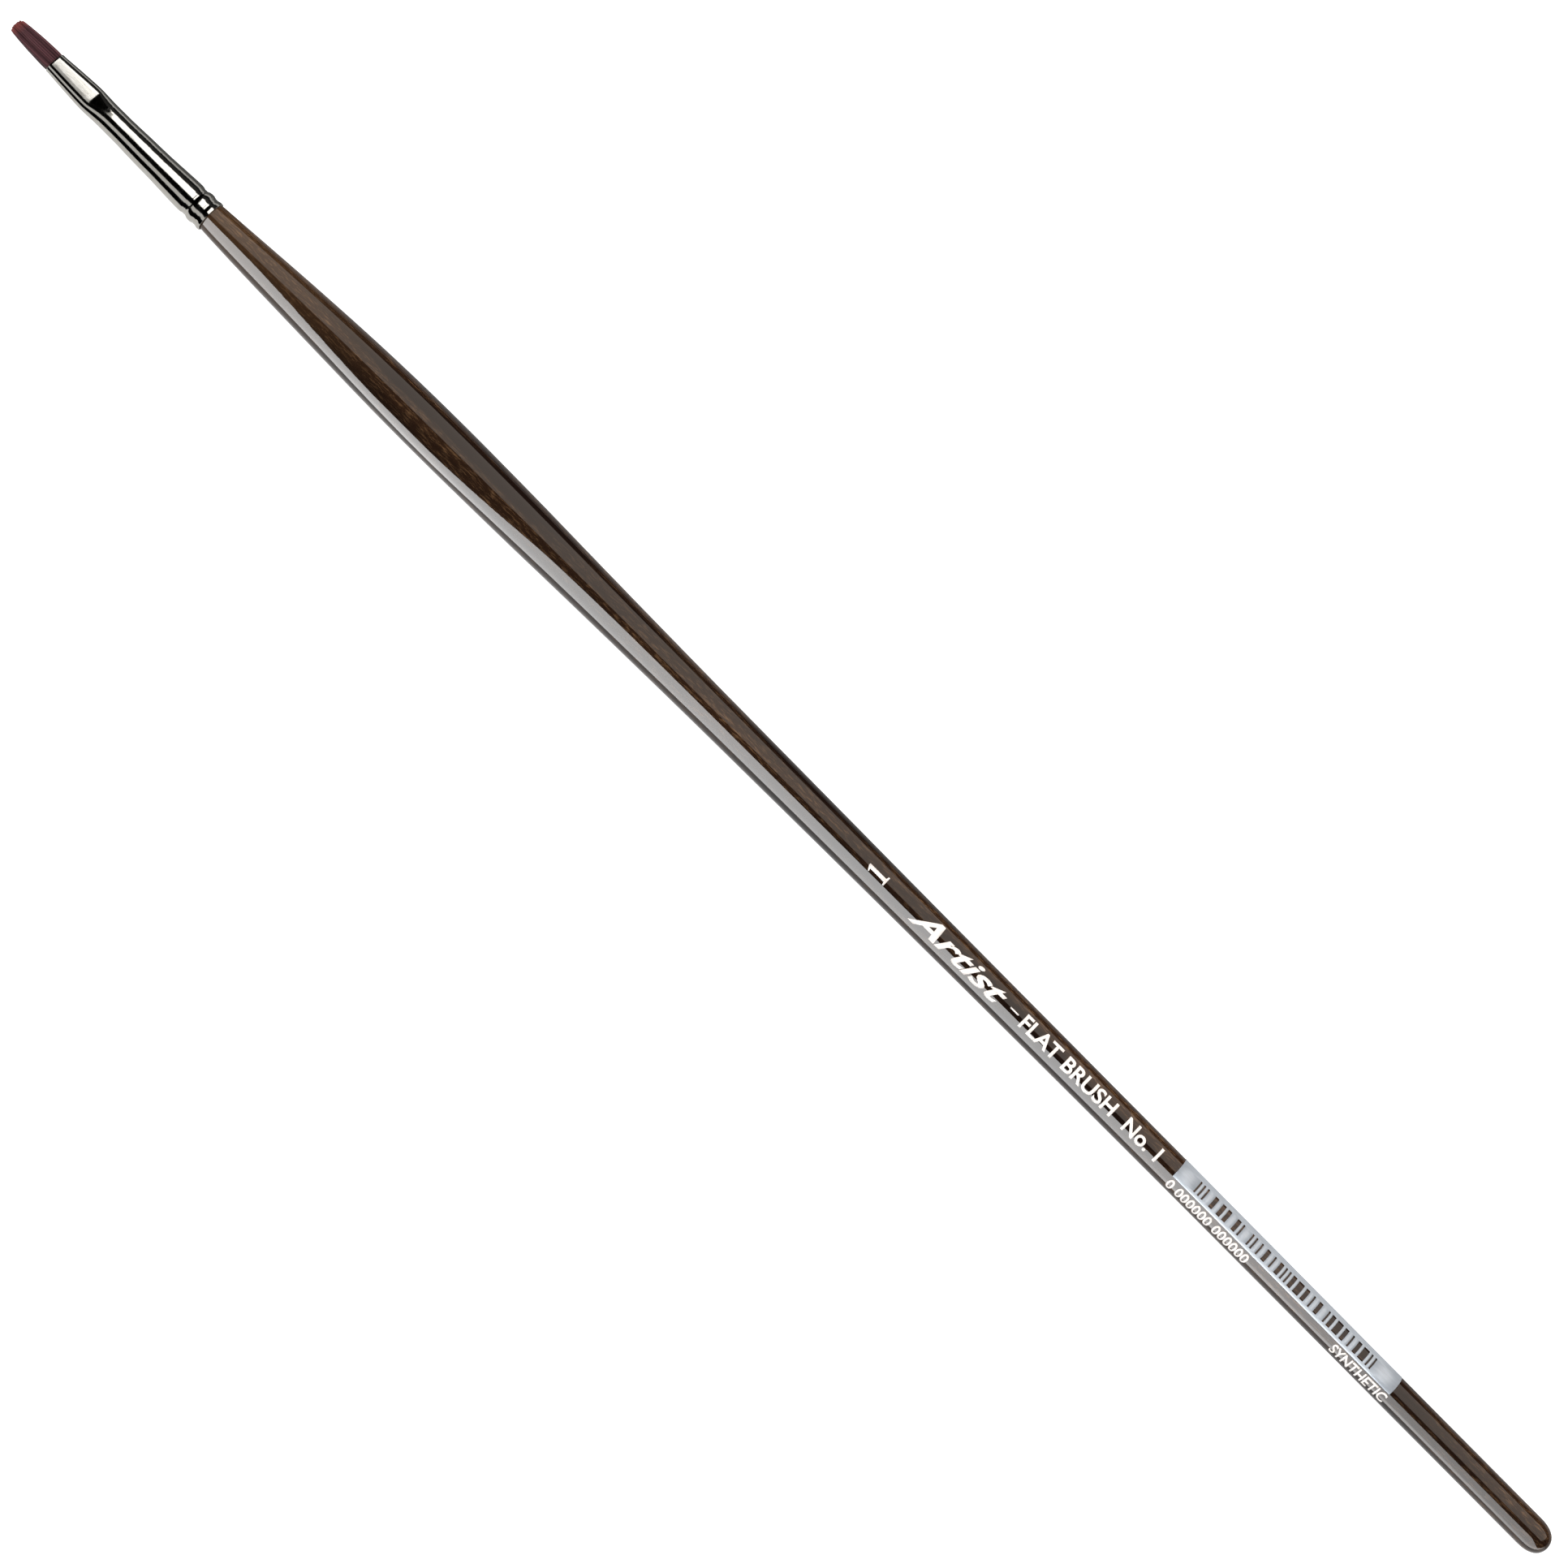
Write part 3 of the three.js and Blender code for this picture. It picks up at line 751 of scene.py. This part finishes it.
# ---- bar panel ------------------------------------------------------------------------------------------
# A panel of silver foil that is hot-stamped round a quarter of the handle. Its bars are gaps in the foil
# that let the dark wood through, in a made-up order that stands for no number.
PANEL_START = 205.3
PANEL_MIDDLE = 224
PANEL_END = 243.9
PANEL_LOW_ANGLE = -11.2 - VIEW_ROLL
PANEL_HIGH_ANGLE = 96 - VIEW_ROLL
BARS_START = 208.4
BARS_END = 239.9
BARS_LOW_ANGLE = 0.8 - VIEW_ROLL
BARS_HIGH_ANGLE = 47 - VIEW_ROLL
# Widths in modules of gap, bar, gap and bar in a group. Guards stand at both ends and in the middle.
MODULES = 95
BAR_MODULE = (BARS_END - BARS_START) / MODULES
GROUPS = [(2, 1, 2, 2), (2, 2, 1, 2), (1, 1, 3, 2), (3, 2, 1, 1), (1, 3, 1, 2), (4, 1, 1, 1)]
GROUPS_IN_HALF = 6
END_GUARD = [1, 1, 1]
MIDDLE_GUARD = [1, 1, 1, 1, 1]
bar_rng = random.Random(7)
runs = list(END_GUARD)
for group in range(GROUPS_IN_HALF):
    runs += bar_rng.choice(GROUPS)
runs += MIDDLE_GUARD
for group in range(GROUPS_IN_HALF):
    runs += reversed(bar_rng.choice(GROUPS))
runs += END_GUARD
edges = [PANEL_START, BARS_START]
for run in runs:
    edges.append(edges[-1] + run * BAR_MODULE)
# The foil spreads a little into each gap as it is stamped.
FOIL_SPREAD = 0.04
for i in range(1, len(edges)):
    edges[i] += FOIL_SPREAD if i % 2 == 1 else -FOIL_SPREAD
edges.append(PANEL_END)
panel_middle_angle = (PANEL_LOW_ANGLE + PANEL_HIGH_ANGLE) / 2
arc = []
for angle in (PANEL_LOW_ANGLE, BARS_LOW_ANGLE, BARS_HIGH_ANGLE, PANEL_HIGH_ANGLE):
    arc.append(math.radians(angle - panel_middle_angle) * radius_at(PANEL_MIDDLE))
sheet = bmesh.new()
rows = []
for station in edges:
    rows.append([sheet.verts.new((station, value, 0)) for value in arc])
for i in range(len(edges) - 1):
    for j in range(3):
        is_bar = j == 1 and i % 2 == 1 and 0 < i < len(edges) - 2
        if not is_bar:
            sheet.faces.new((rows[i][j], rows[i + 1][j], rows[i + 1][j + 1], rows[i][j + 1]))
panel = new_piece("foil_bar_panel", sheet)
wrap_print(panel, panel_middle_angle)

# Hot-stamped silver foil: a pale, cool, satin metal film that follows the faint grain under the lacquer.
CRINKLE_LENGTH = 1.5  # mm
CRINKLE_WIDTH = 0.3
silver = new_material("hot-stamped silver foil")
place = add_node(silver, "ShaderNodeTexCoord").outputs["Object"]
crinkle_place = add_node(
    silver, "ShaderNodeMapping",
    [("Scale", (1000 / CRINKLE_LENGTH, 1000 / CRINKLE_WIDTH, 1000 / CRINKLE_WIDTH))],
    [("Vector", place)])
crinkle = add_node(
    silver, "ShaderNodeTexNoise",
    [("Scale", 1.0), ("Detail", 3.0)],
    [("Vector", crinkle_place.outputs[0])])
silver_colour = add_node(
    silver, "ShaderNodeMix",
    [("data_type", "RGBA"), (6, linear("#959da6")), (7, linear("#adb6c0"))],
    [(0, crinkle.outputs["Fac"])])
crinkle_bump = add_node(
    silver, "ShaderNodeBump",
    [("Strength", 0.6), ("Distance", 0.000006)],
    [("Height", crinkle.outputs["Fac"])])
silver_shader = add_node(
    silver, "ShaderNodeBsdfPrincipled",
    [("Metallic", 0.35), ("Roughness", 0.48)],
    [("Base Color", silver_colour.outputs[2]), ("Normal", crinkle_bump.outputs[0])])
add_node(silver, "ShaderNodeOutputMaterial", (), [("Surface", silver_shader.outputs[0])])
panel.data.materials.append(silver)
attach(panel, "brush_body")
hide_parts("barcode_panel")


# ---- studio ---------------------------------------------------------------------------------------------
# A white table, a white room that lights it evenly, long soft boxes over the brush, and a camera that
# looks down on it from its near side.
bpy.ops.object.select_all(action="DESELECT")
bpy.ops.mesh.primitive_plane_add(size=6, location=(0, 0, 0))
floor = bpy.context.object
floor.name = "table"
bpy.ops.object.transform_apply(location=True, rotation=True, scale=True)
table_white = new_material("matt white table top")
place = add_node(table_white, "ShaderNodeTexCoord").outputs["Object"]
fleck = add_node(table_white, "ShaderNodeTexNoise", [("Scale", 60.0)], [("Vector", place)])
table_colour = add_node(
    table_white, "ShaderNodeMix",
    [("data_type", "RGBA"), (6, linear("#e6e6e6")), (7, linear("#eaeaea"))],
    [(0, fleck.outputs["Fac"])])
table_shader = add_node(
    table_white, "ShaderNodeBsdfPrincipled",
    [("Roughness", 0.9), ("Specular IOR Level", 0.1), ("Emission Color", (1, 1, 1, 1)),
     ("Emission Strength", 0.8)],
    [("Base Color", table_colour.outputs[2])])
add_node(table_white, "ShaderNodeOutputMaterial", (), [("Surface", table_shader.outputs[0])])
floor.data.materials.append(table_white)
floor.visible_glossy = False

# What polished surfaces see of the table: a bright near half, a shaded strip behind the brush, which is lit
# a little close to the handle, and the lit half beyond it. Name, range of x, range of y, and glow.
HANDLE_X = station_x(36)
table_areas = [
    ("near", -3, 3, -3, 0, 0.9),
    ("ferrule_shade", -3, HANDLE_X, 0, 0.12, 0.13),
    ("handle_rim", HANDLE_X, 3, 0, 0.045, 0.38),
    ("handle_shade", HANDLE_X, 3, 0.045, 0.12, 0.05),
    ("far", -3, 3, 0.12, 3, 0.6),
]
for area_name, low_x, high_x, low_y, high_y, glow in table_areas:
    bpy.ops.object.select_all(action="DESELECT")
    centre = ((low_x + high_x) / 2, (low_y + high_y) / 2, -0.0005)
    bpy.ops.mesh.primitive_plane_add(size=1, location=centre)
    reflected = bpy.context.object
    reflected.scale = (high_x - low_x, high_y - low_y, 1)
    reflected.name = f"{area_name}_table_reflection"
    bpy.ops.object.transform_apply(location=True, rotation=True, scale=True)
    reflected_glow = new_material(f"{area_name} table glow")
    glow_shader = add_node(reflected_glow, "ShaderNodeEmission", [("Strength", glow)])
    add_node(reflected_glow, "ShaderNodeOutputMaterial", (), [("Surface", glow_shader.outputs[0])])
    reflected.data.materials.append(reflected_glow)
    reflected.visible_camera = False
    reflected.visible_diffuse = False
    reflected.visible_transmission = False
    reflected.visible_shadow = False

world = bpy.data.worlds.new("white room")
world.use_nodes = True
world.node_tree.nodes["Background"].inputs["Color"].default_value = (1, 1, 1, 1)
world.node_tree.nodes["Background"].inputs["Strength"].default_value = 0.95
world.cycles_visibility.glossy = False
bpy.context.scene.world = world

CAMERA_ROLL = math.radians(VIEW_ROLL)
BRUSH_SLANT = math.radians(44.87)
towards_camera = Vector((0, -math.sin(CAMERA_ROLL), math.cos(CAMERA_ROLL)))
across_view = Vector((0, math.cos(CAMERA_ROLL), math.sin(CAMERA_ROLL)))
axis_middle = Vector((0, 0, AXIS_Z))


def light_spot(x, angle, distance):
    """A point round the brush's axis, at an angle from the camera towards the brush's near side."""
    turn = math.radians(angle)
    return axis_middle + Vector((x, 0, 0)) + distance * (
        math.cos(turn) * towards_camera - math.sin(turn) * across_view)


def soft_box(name, start_x, end_x, start_angle, end_angle, distance, radiance, receivers=None,
             colour=(1, 1, 1)):
    """A rectangular light along the brush between two angles, with an even radiance."""
    middle_x = (start_x + end_x) / 2
    first = light_spot(middle_x, start_angle, distance)
    last = light_spot(middle_x, end_angle, distance)
    centre = (first + last) / 2
    box = bpy.data.lights.new(name, "AREA")
    box.shape = "RECTANGLE"
    box.color = colour
    box.size = end_x - start_x
    box.size_y = (last - first).length
    box.energy = radiance * math.pi * box.size * box.size_y
    lamp = bpy.data.objects.new(name, box)
    bpy.context.scene.collection.objects.link(lamp)
    out = (centre - axis_middle - Vector((middle_x, 0, 0))).normalized()
    side = Vector((1, 0, 0))
    turn = Matrix((side, out.cross(side), out)).transposed().to_4x4()
    lamp.matrix_world = Matrix.Translation(centre) @ turn
    lamp.visible_camera = False
    if receivers:
        lamp.light_linking.receiver_collection = receivers


lacquered = bpy.data.collections.new("lacquered")
for piece in [handle, numeral, panel, *words]:
    lacquered.objects.link(piece)

plated = bpy.data.collections.new("plated")
plated.objects.link(ferrule)

# Name, range of x, range of angles, distance, radiance, and what it lights.
soft_box("over_box", -0.2, 0.3, -53, -8, 0.28, 2.4, plated)
soft_box("over_box_end", -0.235, -0.2, -53, -40, 0.28, 2.4, plated)
soft_box("over_box_fold", -0.235, -0.2, -40, -8, 0.28, 0.6, plated)
soft_box("far_wall", -0.3, 0.3, -80, -53, 0.28, 0.03, plated)
soft_box("far_strip", -0.3, 0.3, -107.5, -93, 0.28, 0.62, plated)
soft_box("strip_box", -0.3, 0.3, 28, 53, 0.2, 0.75, plated)
soft_box("over_lacquer", -0.26, 0.42, -81, -8, 0.28, 1.5, lacquered, (1, 0.88, 0.78))

# A bright curved card on the near side that only the lacquer reflects, and its foot on the table. Its top
# edge is cut down in one place, which shows as a lens shape on the belly, where its foot also comes closer.
# It slopes down past the butt.
CARD_START = -0.26
CARD_STEP = 0.005
CARD_STEPS = 140
CARD_DISTANCE = 0.25
CARD_TOP = 21.5  # degrees
CARD_CUT = 49
CARD_BOTTOM = 69.5
CARD_ARC_PARTS = 8
CARD_SLOPE = 200  # degrees in a metre
CARD_SLOPE_START = 0.22
CARD_FOOT = 11  # mm, from the brush's axis
CARD_FOOT_Z = 0.0008


def swell(x, middle, reach, power):
    """Runs from 0 up to 1 at the middle and back to 0."""
    return math.exp(-(abs(x - middle) / reach) ** power)


card_shape = bmesh.new()
card_rows = []
for step in range(CARD_STEPS + 1):
    x = CARD_START + CARD_STEP * step
    top_angle = CARD_TOP + CARD_CUT * swell(x, -0.102, 0.045, 3) + CARD_SLOPE * max(0, x - CARD_SLOPE_START)
    column = []
    for part in range(CARD_ARC_PARTS + 1):
        angle = top_angle + (CARD_BOTTOM - top_angle) * part / CARD_ARC_PARTS
        column.append(card_shape.verts.new(light_spot(x, angle, CARD_DISTANCE)))
    foot = CARD_FOOT - 3.3 * swell(x, -0.068, 0.02, 3) - 2 * swell(x, -0.045, 0.03, 4)
    column.append(card_shape.verts.new(Vector((x, -foot * MM, CARD_FOOT_Z))))
    card_rows.append(column)
for before, after in zip(card_rows, card_rows[1:]):
    for j in range(CARD_ARC_PARTS + 1):
        card_shape.faces.new((before[j], after[j], after[j + 1], before[j + 1]))
card = new_piece("near_card", card_shape)
card_white = new_material("lit white card")
place = add_node(card_white, "ShaderNodeTexCoord").outputs["Object"]
card_x = add_node(card_white, "ShaderNodeSeparateXYZ", (), [("Vector", place)])
card_fade = add_node(
    card_white, "ShaderNodeMapRange",
    [("From Min", 0.09), ("From Max", 0.165), ("To Min", 8.7), ("To Max", 4.6)],
    [("Value", card_x.outputs["X"])])
card_glow = add_node(card_white, "ShaderNodeEmission", (), [("Strength", card_fade.outputs[0])])
add_node(card_white, "ShaderNodeOutputMaterial", (), [("Surface", card_glow.outputs[0])])
card.data.materials.append(card_white)
card.visible_camera = False
card.visible_diffuse = False
card.visible_transmission = False
card.visible_shadow = False
card.light_linking.receiver_collection = lacquered

camera_data = bpy.data.cameras.new("camera")
camera_data.lens = 90
camera_data.sensor_width = 36
camera_data.clip_start = 0.01
camera_data.clip_end = 20
camera = bpy.data.objects.new("camera", camera_data)
bpy.context.scene.collection.objects.link(camera)
FRAME_WIDTH = 0.1974  # metres across the view, at the brush's axis
camera_distance = camera_data.lens / camera_data.sensor_width * FRAME_WIDTH
along_brush = Vector((1, 0, 0))
right = math.cos(BRUSH_SLANT) * along_brush + math.sin(BRUSH_SLANT) * across_view
up = -math.sin(BRUSH_SLANT) * along_brush + math.cos(BRUSH_SLANT) * across_view
aim = axis_middle + 0.00039 * right + 0.00024 * up
camera_place = aim + camera_distance * towards_camera
camera.matrix_world = Matrix.Translation(camera_place) @ Matrix(
    (right, up, towards_camera)).transposed().to_4x4()
bpy.context.scene.camera = camera
bpy.context.scene.view_settings.view_transform = "Standard"
